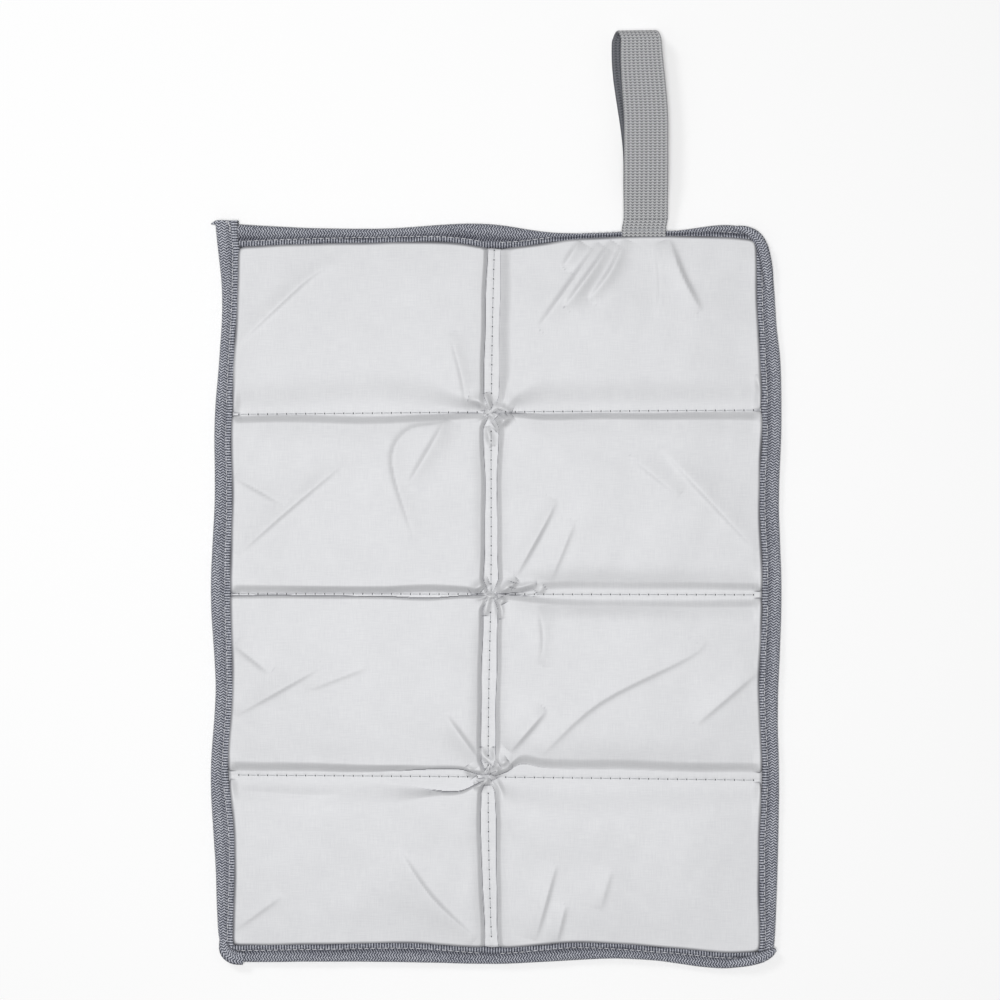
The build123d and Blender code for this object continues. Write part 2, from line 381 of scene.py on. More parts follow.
def seam_rise(x, y):
    """How far the padding has risen at a point, from 0 in a seam or under the tape to 1."""
    inset = edge_inset(INNER_EDGE, x, y)
    edge = soft_min(soft_min(inset["left"], inset["right"], 5),
                    soft_min(inset["top"], inset["bottom"], 5), 5)
    open_channel = np.ones_like(x)
    for seam in SEAMS:
        open_channel = open_channel * smoothstep(1, 9, np.abs(y - ROW_SEAM[seam]))
    offset = x - centre_line(y)
    centre = np.abs(offset) - 1.2 - 2.6 * open_channel
    places, *columns = np.array(CENTRE_RISE).T
    soft_left, soft_right, band = (np.interp(y - PAD_Y, places, column) for column in columns)
    softness = np.where(offset < 0, soft_left, soft_right)
    gentle = 0.9 * np.exp(-(offset / 9) ** 2)
    depth = soft_min(1.5 * (edge + 0.8), (centre - 0.6 * ripples(x * 0, y, 40, 3)) / softness, 3)
    for seam in SEAMS:
        offset = y - row_line(seam, x)
        above, soft_above, below, soft_below = (
            along([(place[0], place[k]) for place in ROW_FLATS[seam]], x - PAD_X) for k in (1, 2, 3, 4))
        flat = np.where(offset > 0, above, below) + 0.4 * ripples(x, y * 0, 60, 40 + seam)
        softness = np.maximum(np.where(offset > 0, soft_above, soft_below), 0.5)
        depth = soft_min(depth, (np.abs(offset) - np.maximum(flat, 0.2)) / softness, 2.5)
        close = np.exp(-(offset / 18) ** 2)
        nearby = close * smoothstep(0, 6, centre) * smoothstep(0, 5, edge)
        gentle = np.maximum(gentle, nearby * np.clip((softness - 1.2) / 0.6, 0, 1))
        band = band + close * (along(ROW_BAND[seam], x - PAD_X) - band)
    share = np.clip(depth / SHOULDER, 0, 1)
    round_rise = np.sqrt(1 - (1 - share) ** 2)
    gentle_rise = (band * smoothstep(0, SHOULDER, depth)
                   + (1 - band) * smoothstep(0, FURTHER_IN * SHOULDER, depth))
    return round_rise + gentle * (gentle_rise - round_rise)


def crown(x, y):
    """The gentle swell in the middle of each panel, from 0 at its seams to 1."""
    left, right = X_LEFT + TAPE_INSIDE, X_RIGHT - TAPE_INSIDE
    across = np.where(x < CENTRE_SEAM, (x - left) / (CENTRE_SEAM - left),
                      (x - CENTRE_SEAM) / (right - CENTRE_SEAM))
    bounds = [Y_BOTTOM + TAPE_INSIDE, *sorted(ROW_SEAM.values()), Y_TOP - TAPE_INSIDE]
    lengthways = np.zeros_like(y)
    for low, high in zip(bounds[:-1], bounds[1:]):
        inside = (y >= low) & (y <= high)
        lengthways = np.where(inside, (y - low) / (high - low), lengthways)
    across = np.clip(across, 0, 1)
    return 4 * across * (1 - across) * np.clip(4 * lengthways * (1 - lengthways), 0, 1)


def stitch_dimples(x, y):
    """Small pits where the quilting thread goes down through the cloth, and a groove between them."""
    seams = [(y - row_line(seam, x), x) for seam in SEAMS] + [(x - centre_line(y), y)]
    total = np.zeros_like(x)
    for offset, place in seams:
        phase = (place / STITCH_PITCH) % 1.0
        pit = np.minimum(phase, 1 - phase) * STITCH_PITCH
        total += 0.10 * np.exp(-(offset ** 2 + pit ** 2) / 0.9) + 0.08 * np.exp(-offset ** 2 / 0.8)
    return total


def top_height(x, y):
    """Height of the upper cloth above the middle plane."""
    rise = seam_rise(x, y)
    swell = PAD_RISE + CROWN_RISE * crown(x, y)
    for waves, wavelength, seed in LOOSE_WAVES:
        swell = swell + waves * ripples(x, y, wavelength, seed)
    folds = (CREASE_GAIN * fold_height(CREASES, x, y) + pucker_height(x, y)) * (0.35 + 0.65 * rise)
    folds = folds + GATHER_GAIN * fold_height(GATHERS, x, y)
    height = FLANGE_Z + swell * rise + folds - stitch_dimples(x, y) * (1 - rise)
    return np.maximum(height, LOWEST_CLOTH)


def bottom_height(x, y):
    """Depth of the lower cloth below the middle plane; it never goes below the ground."""
    rise = seam_rise(x, y)
    folds = 0.3 * pucker_height(x, y) - 0.10 * np.abs(ripples(x, y, 30, 61))
    return np.minimum(FLANGE_Z + (MID_Z - FLANGE_Z) * rise + folds * (1 - 0.6 * rise), MID_Z)


def surface_shape(height, x, y):
    """Unit normals of a height surface, and how hollow it is at each point from 0 to 1, which sets the
    painted shade in the cloth's hollows.
    """
    step = 0.3
    east, west = height(x + step, y), height(x - step, y)
    north, south = height(x, y + step), height(x, y - step)
    slope_x, slope_y = (east - west) / (2 * step), (north - south) / (2 * step)
    normals = np.stack([-slope_x, -slope_y, np.ones_like(x)], axis=-1)
    normals = normals / np.linalg.norm(normals, axis=-1, keepdims=True)
    bend = (east + west + north + south - 4 * height(x, y)) / step ** 2
    return normals, np.clip(bend / SHARPEST_BEND, 0, 1)


def crevice_painted_shade(x, y):
    """Painted shade from 0 to 1 on the cover, in the narrow crevice beside the tape's inner edge."""
    inset = np.minimum.reduce(list(edge_inset(INNER_EDGE, x, y).values()))
    strength = np.clip(0.55 + 0.30 * ripples(x, y, 34, 71), 0.15, 0.9)
    return strength * np.exp(-(np.maximum(inset, 0) / 0.8) ** 2)


# ---- mesh helpers --------------------------------------------------------------------------------


def new_object(name, points, faces, material, weave, normals=None):
    """A smooth-shaded mesh object from points in millimetres."""
    mesh = bpy.data.meshes.new(name)
    mesh.from_pydata((np.asarray(points) * MM).tolist(), [], faces)
    mesh.polygons.foreach_set("use_smooth", [True] * len(mesh.polygons))
    # The weave holds the cloth's own coordinates in X and Y, and the amount of painted shade in Z.
    attribute = mesh.attributes.new("weave", "FLOAT_VECTOR", "POINT")
    attribute.data.foreach_set("vector", np.asarray(weave, np.float32).ravel())
    if normals is not None:
        mesh.normals_split_custom_set_from_vertices(np.asarray(normals).tolist())
    mesh.materials.append(material)
    obj = bpy.data.objects.new(name, mesh)
    bpy.context.collection.objects.link(obj)
    return obj


def strip_faces(rows, columns, offset=0, closed=False):
    """Quads of a grid of points, row by row; closed joins the last column to the first."""
    faces = []
    last = columns if closed else columns - 1
    for i in range(rows - 1):
        for j in range(last):
            k = (j + 1) % columns
            a, b = offset + i * columns + j, offset + i * columns + k
            c, d = offset + (i + 1) * columns + k, offset + (i + 1) * columns + j
            faces.append((a, b, c, d))
    return faces


def shell_faces(rows, columns, base=0):
    """Faces of a closed shell of two equal grids: the upper one, the lower one and the rim."""
    count = rows * columns
    faces = strip_faces(rows, columns, base)
    faces += [tuple(reversed(face)) for face in strip_faces(rows, columns, base + count)]
    rim = (list(range(columns)) + [i * columns + columns - 1 for i in range(1, rows)]
           + [(rows - 1) * columns + j for j in range(columns - 2, -1, -1)]
           + [i * columns for i in range(rows - 2, 0, -1)])
    for a, b in zip(rim, rim[1:] + rim[:1]):
        faces.append((base + b, base + a, base + count + a, base + count + b))
    return faces


def grid_lines(low, high):
    """Grid places from low to high, closer together at both ends where the cloth curves most."""
    count = max(3, math.ceil((high - low) / GRID_STEP)) + 1
    share = np.linspace(0, 1, count)
    if count > 24:
        share = share - EDGE_CROWDING * np.sin(math.tau * share) / math.tau
    else:
        share = np.linspace(0, 1, 2 * count - 1)
    return low + (high - low) * share


def fit_to_outline(x, y):
    """Moves grid points so that the cloth's outer sides end inside the wavy fold of the tape."""
    overlap = 1.8

    def fitted(edge, value, place, outside, fixed):
        line, inward = EDGES[edge]
        start = line + inward * (along(OUTER_EDGE[edge], place) + overlap)
        share = (value - outside) / (fixed - outside)
        return np.where(inward * (fixed - value) > 0, start + (fixed - start) * share, value)

    x = fitted("left", x, y - PAD_Y, COVER_LEFT, CENTRE_LOW)
    x = fitted("right", x, y - PAD_Y, COVER_RIGHT, CENTRE_HIGH)
    y = fitted("top", y, x - PAD_X, ROW_HIGH[1], ROW_LOW[1])
    y = fitted("bottom", y, x - PAD_X, ROW_LOW[4], ROW_HIGH[4])
    return x, y


def cloth_patch(name, x_span, y_span):
    """A closed piece of the quilted cover: upper cloth, lower cloth and the sides between them."""
    x, y = fit_to_outline(*np.meshgrid(grid_lines(*x_span), grid_lines(*y_span)))
    top = np.stack([x, y, MID_Z + top_height(x, y)], axis=-1).reshape(-1, 3)
    low = np.stack([x, y, MID_Z - bottom_height(x, y)], axis=-1).reshape(-1, 3)
    # Painted shade: the Z of the weave darkens the cover in hollows and in the crevice beside the tape,
    # where shade falls.
    (top_normals, top_painted_shade), (low_normals, low_painted_shade) = (
        surface_shape(height, x, y) for height in (top_height, bottom_height))
    top_painted_shade = np.maximum(top_painted_shade, crevice_painted_shade(x, y))
    points = np.concatenate([top, low])
    weave = np.concatenate([points[:, :2], np.stack([top_painted_shade, low_painted_shade]).reshape(-1, 1)], axis=1)
    normals = np.concatenate([top_normals.reshape(-1, 3),
                              low_normals.reshape(-1, 3) * np.array([1, 1, -1])])
    return new_object(name, points, shell_faces(*x.shape), COVER, weave, normals)


def swept_band(name, rings, material, flip=False):
    """A closed tube through rings of (point, weave) pairs, capped at both ends."""
    rings = np.array(rings)[:, ::-1] if flip else np.array(rings)
    stations, count = rings.shape[:2]
    faces = strip_faces(stations, count, closed=True)
    faces.append(tuple(range(count - 1, -1, -1)))
    faces.append(tuple((stations - 1) * count + j for j in range(count)))
    points, weave = rings[:, :, 0].reshape(-1, 3), rings[:, :, 1].reshape(-1, 3)
    band = new_object(name, points, faces, material, weave)
    for cap in band.data.polygons[-2:]:
        cap.use_smooth = False
        for corner in cap.loop_indices:
            band.data.edges[band.data.loops[corner].edge_index].use_edge_sharp = True
    return band


# ---- materials -----------------------------------------------------------------------------------


WHITE = (1.0, 1.0, 1.0)      # leaves a colour as it is when it is multiplied with it


class Shader:
    """A Principled material with small helpers for the procedural nodes that feed it."""

    def __init__(self, name):
        self.material = bpy.data.materials.new(name)
        self.material.use_nodes = True
        self.tree = self.material.node_tree
        self.surface = self.tree.nodes["Principled BSDF"]

    def node(self, kind, **settings):
        node = self.tree.nodes.new(kind)
        for key, value in settings.items():
            setattr(node, key, value)
        return node

    def link(self, source, target):
        self.tree.links.new(source, target)

    def weave(self, scale):
        """Coordinates that stay with the cloth, in millimetres times scale."""
        attribute = self.node("ShaderNodeAttribute", attribute_name="weave")
        mapping = self.node("ShaderNodeMapping")
        mapping.inputs["Scale"].default_value = scale
        self.link(attribute.outputs["Vector"], mapping.inputs["Vector"])
        return mapping.outputs["Vector"]

    def axes(self):
        """The cloth's own coordinates in millimetres, and the amount of painted shade in Z."""
        place = self.node("ShaderNodeSeparateXYZ")
        self.link(self.weave((1, 1, 1)), place.inputs["Vector"])
        return place.outputs["X"], place.outputs["Y"], place.outputs["Z"]

    def noise(self, scale, detail=3.0, roughness=0.6):
        """Irregular values between 0 and 1; scale is in patches for each millimetre."""
        noise = self.node("ShaderNodeTexNoise")
        noise.inputs["Scale"].default_value = 1.0
        noise.inputs["Detail"].default_value = detail
        noise.inputs["Roughness"].default_value = roughness
        self.link(self.weave(scale), noise.inputs["Vector"])
        return noise.outputs["Fac"]

    def math(self, operation, first, second=None):
        """One sum, product or other operation on values of the shader."""
        node = self.node("ShaderNodeMath", operation=operation)
        for socket, value in zip(node.inputs, (first, second)):
            if isinstance(value, (int, float)):
                socket.default_value = value
            elif value is not None:
                self.link(value, socket)
        return node.outputs["Value"]

    def weighted(self, *terms):
        """The sum of several values, each times its weight."""
        total, *others = [self.math("MULTIPLY", value, weight) for value, weight in terms]
        for other in others:
            total = self.math("ADD", total, other)
        return total

    def ribs(self, lengthways, zigzag, slant, pitch):
        """Waves between -1 and 1 across ribs that slant to one side and back again."""
        slanted = self.weighted((lengthways, 1.0), (zigzag, slant))
        return self.math("SINE", self.math("MULTIPLY", slanted, math.tau / pitch))

    def ramp(self, factor, stops):
        """A colour that changes with factor through (place, colour) stops."""
        node = self.node("ShaderNodeValToRGB")
        elements = node.color_ramp.elements
        while len(elements) < len(stops):
            elements.new(0.5)
        for element, (place, colour) in zip(elements, stops):
            element.position = place
            element.color = (*colour, 1)
        self.link(factor, node.inputs["Fac"])
        return node.outputs["Color"]

    def times(self, first, second):
        """The product of two colours."""
        node = self.node("ShaderNodeMix", data_type="RGBA", blend_type="MULTIPLY")
        node.inputs["Factor"].default_value = 1.0
        self.link(first, node.inputs[6])
        self.link(second, node.inputs[7])
        return node.outputs[2]

    def bump(self, height, strength, distance):
        """Fine relief on the surface, at most distance millimetres deep."""
        node = self.node("ShaderNodeBump")
        node.inputs["Strength"].default_value = strength
        node.inputs["Distance"].default_value = distance * MM
        self.link(height, node.inputs["Height"])
        self.link(node.outputs["Normal"], self.surface.inputs["Normal"])

    def finish(self, colour, roughness, sheen=0.0, specular=0.3):
        """Sets the surface's colour and gloss and returns the material."""
        self.link(colour, self.surface.inputs["Base Color"])
        self.surface.inputs["Roughness"].default_value = roughness
        self.surface.inputs["Sheen Weight"].default_value = sheen
        self.surface.inputs["Sheen Roughness"].default_value = 0.4
        self.surface.inputs["Specular IOR Level"].default_value = specular
        return self.material


def cover_material():
    """Silver-grey taffeta: fine crossed threads, cloudy tone, a slight sheen and painted shade in the
    folds, hollows and the crevice beside the tape.
    """
    shader = Shader("silver_taffeta")
    warp = shader.noise((2.6, 0.12, 0), 2.0)
    weft = shader.noise((0.12, 2.6, 0), 2.0)
    threads = shader.math("ADD", warp, weft)
    clouds = shader.noise((0.035, 0.035, 0), 4.0)
    base = shader.ramp(clouds, [(0.30, (0.640, 0.644, 0.656)), (0.70, (0.668, 0.672, 0.684))])
    fine = shader.ramp(shader.math("MULTIPLY", threads, 0.5),
                       [(0.38, (0.92, 0.92, 0.93)), (0.62, WHITE)])
    # Painted shade: the cover's colour is darkened in hollows, folds and the crevice beside the tape.
    painted_hollow_shade = shader.ramp(shader.axes()[2], [(0.04, WHITE), (0.5, (0.58, 0.58, 0.60)),
                                            (1.0, (0.28, 0.28, 0.30))])
    shader.bump(threads, 0.25, 0.12)
    shader.surface.inputs["Metallic"].default_value = 0.22
    return shader.finish(shader.times(shader.times(base, fine), painted_hollow_shade), 0.60, sheen=0.1)


def tape_material():
    """Blue-grey ribbed tape: herringbone of light and dark threads, with painted shade where it lies
    deep and a little painted shade all over the top and bottom runs.
    """
    shader = Shader("ribbed_tape")
    lengthways, across, deep_painted_shade = shader.axes()
    zigzag = shader.math("PINGPONG", across, 1.5)
    outside = shader.math("GREATER_THAN", across, 3.9)
    ribs = shader.ribs(lengthways, shader.math("MULTIPLY", zigzag, outside), 0.75, 1.42)
    fibres = shader.noise((0.95, 1.25, 0), 2.0, 0.8)
    uneven = shader.math("MULTIPLY", ribs, shader.noise((0.5, 0.8, 0), 2.0))
    tone = shader.weighted((uneven, 0.50), (fibres, 1.0))
    base = shader.ramp(tone, [(0.20, (0.032, 0.036, 0.050)), (0.50, (0.200, 0.211, 0.250)),
                              (0.80, (0.720, 0.735, 0.790))])
    clouds = shader.ramp(shader.noise((0.06, 0.2, 0), 3.0),
                         [(0.35, (0.84, 0.84, 0.86)), (0.65, WHITE)])
    # Painted shade: the tape's colour is darkened in its groove, at its edges and over whole runs,
    # where shade falls.
    painted_shade = shader.ramp(deep_painted_shade, [(0.0, WHITE), (1.0, (0.30, 0.30, 0.33))])
    shader.bump(tone, 0.8, 0.30)
    return shader.finish(shader.times(shader.times(base, clouds), painted_shade), 0.82, 0.25, 0.15)


def elastic_material():
    """Grey elastic webbing: pale lengthwise ribs, dotted threads between them, and painted shade on the
    inside of the loop.
    """
    shader = Shader("ribbed_elastic")
    across, lengthways, inner = shader.axes()
    zigzag = shader.math("PINGPONG", across, RIB_WIDTH / 2)
    threads = shader.ribs(lengthways, zigzag, 0.7, 1.45)
    crest = shader.math("DIVIDE", zigzag, RIB_WIDTH / 2)
    dots = shader.math("MULTIPLY", threads, shader.math("SUBTRACT", 1.15, crest))
    fibres = shader.noise((1.8, 1.8, 1), 3.0, 0.7)
    tone = shader.weighted((dots, 0.32), (fibres, 0.53), (crest, 0.28))
    base = shader.ramp(tone, [(0.18, (0.150, 0.154, 0.164)), (0.43, (0.345, 0.349, 0.358)),
                              (0.70, (0.600, 0.604, 0.612))])
    # Painted shade: the face on the loop's inside is darkened, as if in shadow.
    inside = shader.ramp(inner, [(0.0, WHITE), (1.0, (0.36, 0.37, 0.40))])
    shader.bump(tone, 0.7, 0.30)
    return shader.finish(shader.times(base, inside), 0.75, 0.2, 0.2)


def thread_material(name, dark, light, roughness):
    """Twisted sewing thread."""
    shader = Shader(name)
    base = shader.ramp(shader.noise((1.5, 1.5, 1), 2.0), [(0.3, dark), (0.7, light)])
    shader.bump(shader.noise((6, 6, 1), 1.0), 0.4, 0.05)
    return shader.finish(base, roughness, 0.1)


COVER = cover_material()
TAPE = tape_material()
ELASTIC = elastic_material()
GREY_THREAD = thread_material("grey_thread", (0.36, 0.37, 0.39), (0.46, 0.47, 0.49), 0.6)
DARK_THREAD = thread_material("dark_thread", (0.045, 0.05, 0.055), (0.09, 0.095, 0.105), 0.7)
WHITE_THREAD = thread_material("white_thread", (0.62, 0.63, 0.66), (0.80, 0.80, 0.82), 0.5)

# ---- how a piece follows the bodies --------------------------------------------------------------


def follow(obj, *bodies):
    """Rides with one body; with two, it is baked where it lies and does not bend with the centre fold.
    """
    if len(bodies) == 1:
        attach(obj, bodies[0])
    else:
        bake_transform(obj)


def follow_seam(obj, half):
    """Bakes a piece beside a seam on the left column where it lies; it does not bend between the panel
    and the strip.
    """
    if half == "lower":
        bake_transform(obj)
    else:
        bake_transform(obj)


def channel_halves(seam):
    """Name and Y limits of the two halves of a row channel."""
    middle = ROW_SEAM[seam]
    return (("lower", (middle - CHANNEL_HALF, middle)), ("upper", (middle, middle + CHANNEL_HALF)))


def whole_channel(seam):
    """Y limits of a row channel."""
    return ROW_SEAM[seam] - CHANNEL_HALF, ROW_SEAM[seam] + CHANNEL_HALF


# ---- the quilted cover ---------------------------------------------------------------------------


def build_cover():
    """Eight pillows, the sewn channels between them and the crossings of the channels."""
    columns = {"left": (COVER_LEFT, CENTRE_LOW), "centre": (CENTRE_LOW, CENTRE_HIGH),
               "right": (CENTRE_HIGH, COVER_RIGHT)}
    for row in ROWS:
        y_span = (ROW_LOW[row], ROW_HIGH[row])
        for side in SIDES:
            pillow = cloth_patch(f"pillow_{side}_{row}", columns[side], y_span)
            follow(pillow, f"panel_{side}_{row}")
            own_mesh(pillow)
            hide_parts(f"foam_{side}_{row}", f"top_cover_{side}_{row}",
                        f"bottom_cover_{side}_{row}")
        channel = cloth_patch(f"centre_channel_{row}", columns["centre"], y_span)
        follow(channel, f"panel_left_{row}", f"panel_right_{row}")
    for seam in SEAMS:
        for half, y_span in channel_halves(seam):
            strip = cloth_patch(f"row_channel_left_{seam}_{half}", columns["left"], y_span)
            follow_seam(strip, half)
            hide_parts(f"channel_left_{seam}")
        whole = whole_channel(seam)
        strip = cloth_patch(f"row_channel_right_{seam}", columns["right"], whole)
        follow(strip, f"seam_right_{seam}")
        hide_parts(f"channel_right_{seam}")
        crossing = cloth_patch(f"crossing_{seam}", columns["centre"], whole)
        follow(crossing, f"seam_left_{seam}", f"seam_right_{seam}")


# ---- the edge tape -------------------------------------------------------------------------------

TAPE_BACK = -1.25            # underside of the tape, from the middle plane
TAPE_CLOTH = 0.55            # thickness of the tape itself
CORNER_LIFT = 0.8            # how much higher a run lies on top of the end of its neighbour


def edge_point(edge, place, inset):
    """X and Y of a point a distance inside the nominal outline of one edge."""
    line, inward = EDGES[edge]
    across = line + inward * inset
    return (across, place) if edge in SIDES else (place, across)


def edge_tables(edge, place):
    """Insets of the folded edge and of the inner edge of the tape at a place along one edge."""
    local = place - (PAD_Y if edge in SIDES else PAD_X)
    return along(OUTER_EDGE[edge], local), along(INNER_EDGE[edge], local)


def tape_lift(edge, place):
    """How much higher the tape lies where it runs over the end of its neighbour at a corner."""
    if edge == "left":
        return CORNER_LIFT * ease(Y_TOP - 17, Y_TOP - 12, place)
    if edge == "bottom":
        return CORNER_LIFT * ease(X_RIGHT - 26, X_RIGHT - 15, place)
    return 0.0


def seam_pinch(edge, place):
    """1 where a quilting seam runs in under the tape and holds it down, 0 away from the seams."""
    if edge in SIDES:
        away = min(abs(place - ROW_SEAM[seam]) for seam in SEAMS)
    else:
        away = abs(place - CENTRE_SEAM)
    return math.exp(-(away / 4.5) ** 2)


# The folded tape's upper side as (share of the width from the inner edge, height, painted shade): a
# flat inner band, the groove of the stitching and the round outer fold.  The painted shade darkens what
# lies deep and the edges, where shade falls.
TAPE_CREST = [(0.0, 1.05, 1.0), (0.08, 1.50, 0.55), (0.17, 1.60, 0.10), (0.26, 1.45, 0.15),
              (0.33, 0.98, 0.70), (0.38, 0.88, 0.90), (0.44, 1.15, 0.70), (0.56, 1.75, 0.20),
              (0.72, 1.98, 0.0), (0.86, 1.65, 0.0), (0.95, 1.05, 0.15), (1.0, 0.10, 0.50)]
# The painted shade of each edge, as (all over, in the deep places).
TAPE_PAINTED_SHADE = {"left": (0.0, 0.45), "right": (0.0, 0.80), "top": (0.15, 0.95), "bottom": (0.16, 0.90)}


def tape_profile(edge, place):
    """One section of the folded tape: (inset, height above the middle plane) points, and painted
    shades.
    """
    outer, inner = edge_tables(edge, place)
    inner = inner + 0.6 * math.sin(place / 6.1) * math.sin(place / 17)
    inner = inner + 0.2 * math.sin(place / 2.3 + 2 * math.sin(place / 9))
    width = inner - outer
    lift = tape_lift(edge, place)
    wave = 0.22 * math.sin(place / 9.0 + len(edge)) + 0.12 * math.sin(place / 3.7)
    pinch = 0.5 * seam_pinch(edge, place)
    shares, crest, painted_shades = zip(*TAPE_CREST)

    def height(s):
        held = 1 - pinch * (1 - s)
        return lift + float(np.interp(s, shares, crest)) * held + wave * s

    upper = [(inner - s * width, height(s)) for s in shares]
    lower = [(inner - s * width, TAPE_BACK - 0.15 * math.sin(math.pi * s) + 0.5 * wave * s)
             for s in (0.94, 0.8, 0.5, 0.2, 0.0)]
    inside = [(inner - s * width, TAPE_BACK + TAPE_CLOTH) for s in (0.02, 0.4, 0.8)]
    fold = [(inner - 0.88 * width, 0.2)]
    under = [(inner - s * width, max(height(s) - TAPE_CLOTH, min(0.45, height(s) - 0.1)))
             for s in (0.75, 0.4, 0.05)]
    all_over, deep_painted_shade = TAPE_PAINTED_SHADE[edge]
    deep_painted_shade = deep_painted_shade * (0.8 + 0.2 * math.sin(place / 15) * math.sin(place / 6.3 + 1))
    painted_shade = [min(1, all_over + deep_painted_shade * value) for value in painted_shades]
    outline = upper + lower + inside + fold + under
    return outline, painted_shade + [0.0] * (len(outline) - len(upper))


def tape_run(name, edge, start, end):
    """A piece of tape along one edge, between two places."""
    count = max(3, math.ceil(abs(end - start) / (GRID_STEP * 0.9))) + 1
    rings = []
    for place in np.linspace(start, end, count):
        profile, painted_shades = tape_profile(edge, place)
        turns = travelled(np.array(profile))
        rings.append([((*edge_point(edge, place, inset), MID_Z + height), (place, turn, painted_shade))
                      for (inset, height), turn, painted_shade in zip(profile, turns, painted_shades)])
    return swept_band(name, rings, TAPE, flip=edge in ("right", "top"))


def build_tape():
    """The tape round the whole outline, in one piece for each body or fold that it passes."""
    for row in ROWS:
        for side in SIDES:
            low = ROW_LOW[row] if row < 4 else Y_BOTTOM + 4
            high = ROW_HIGH[row] if row > 1 else Y_TOP - (0 if side == "left" else 12)
            run = tape_run(f"tape_{side}_{row}", side, low, high)
            follow(run, f"panel_{side}_{row}")
            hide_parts(f"edge_tape_{side}_{row}")
    for seam in SEAMS:
        for half, span in channel_halves(seam):
            run = tape_run(f"tape_fold_left_{seam}_{half}", "left", *span)
            follow_seam(run, half)
            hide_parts(f"channel_tape_left_{seam}")
        run = tape_run(f"tape_fold_right_{seam}", "right", *whole_channel(seam))
        follow(run, f"seam_right_{seam}")
        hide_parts(f"channel_tape_right_{seam}")
    for edge, row, short_of_corner in (("top", 1, 14), ("bottom", 4, 9)):
        left, right = f"panel_left_{row}", f"panel_right_{row}"
        for end, start, stop, bodies in (("left", X_LEFT + TAPE_INSIDE, CENTRE_LOW, [left]),
                                         ("centre", CENTRE_LOW, CENTRE_HIGH, [left, right]),
                                         ("right", CENTRE_HIGH, X_RIGHT - short_of_corner, [right])):
            follow(tape_run(f"tape_{edge}_{end}", edge, start, stop), *bodies)


def ribbon(name, panel, stations):
    """A flap of tape on the tape below it, through (x, y, width, height) from the pad's middle."""
    x, y, width, crest = finer(stations).T
    line = np.stack([x + PAD_X, y + PAD_Y], axis=1)
    direction = np.gradient(line, axis=0)
    direction = direction / np.linalg.norm(direction, axis=1, keepdims=True)
    rings = []
    for i, place in enumerate(travelled(line)):
        ring = []
        for face in (1, -1):
            for u in np.linspace(-1, 1, 9) * face:
                across = u * width[i] / 2
                z = MID_Z + crest[i] - (0.9 * u ** 4 if face == 1 else 1.5)
                # The weave's third value is painted shade, darkest along both edges of the flap.
                ring.append(((line[i, 0] + direction[i, 1] * across,
                              line[i, 1] - direction[i, 0] * across, z),
                             (place, 6 + across, 0.85 * u ** 4)))
        rings.append(ring)
    follow(swept_band(name, rings, TAPE, flip=True), panel)


def build_corners():
    """How the tape's ends are tucked and folded at the four corners."""
    ribbon("corner_wrap_top_right", "panel_right_1",
           [(122.5, 191.6, 0.8, 2.2), (130, 190.2, 4.0, 2.7), (135.6, 187.0, 5.8, 2.9),
            (138.9, 182, 6.3, 2.9), (140.9, 175.5, 6.2, 2.7), (142.4, 167, 5.6, 2.3),
            (143.4, 156, 4.0, 1.6)])
    ribbon("corner_wrap_bottom_left", "panel_left_4",
           [(-143.6, -181, 3.0, 1.7), (-142.0, -187.6, 6.4, 2.4), (-138, -190.9, 7.4, 2.8),
            (-132.4, -191.9, 6.6, 2.9)])
    ribbon("corner_wrap_bottom_right", "panel_right_4",
           [(120, -194.2, 3.0, 1.9), (126, -194.0, 4.6, 2.6), (133, -192.9, 5.4, 3.0),
            (140.2, -190.6, 5.4, 3.0), (144.0, -188.6, 4.4, 2.8), (146.6, -187.2, 1.6, 2.6)])
    ribbon("corner_tip_top_left", "panel_left_1",
           [(-142.5, 193.4, 3.2, 2.6), (-146.6, 193.9, 2.4, 2.0), (-149.6, 193.3, 0.3, 1.4)])
    thread = [(-141.7, 194.3), (-140.5, 193.8), (-139.7, 192.8), (-139.3, 191.5), (-139.3, 190.2),
              (-139.6, 188.9)]
    points = [(x + PAD_X, y + PAD_Y, MID_Z + 3.3) for x, y in thread]
    loose = capsules("corner_loose_thread", zip(points, points[1:]), 0.32, WHITE_THREAD)
    follow(loose, "panel_left_1")


# ---- linings: cloth inside the seams that shows only when the pad is folded ------------------------

SPINE_REACH = {1: 9.0, 2: 7.5, 3: 9.0}   # half height of the folded right-hand edge at each seam
FLAP_PAST_SEAM = {1: 2.3, 2: 0.5, 3: 2.3}
FLAP_HOLD = 3.0              # how far a lining runs in under the padding that it rides with


def plates(name, spans, half_thickness, material):
    """Thin closed plates of cloth at the middle plane, in one mesh."""
    points, faces = [], []
    for x_span, y_span in spans:
        x, y = np.meshgrid(np.linspace(*x_span, 9), np.linspace(*y_span, 5))
        faces += shell_faces(*x.shape, len(points))
        for height in (half_thickness, -half_thickness):
            z = np.full_like(x, MID_Z + height)
            points += np.stack([x, y, z], axis=-1).reshape(-1, 3).tolist()
    return new_object(name, points, faces, material, np.array(points) * np.array([1, 1, 0]))


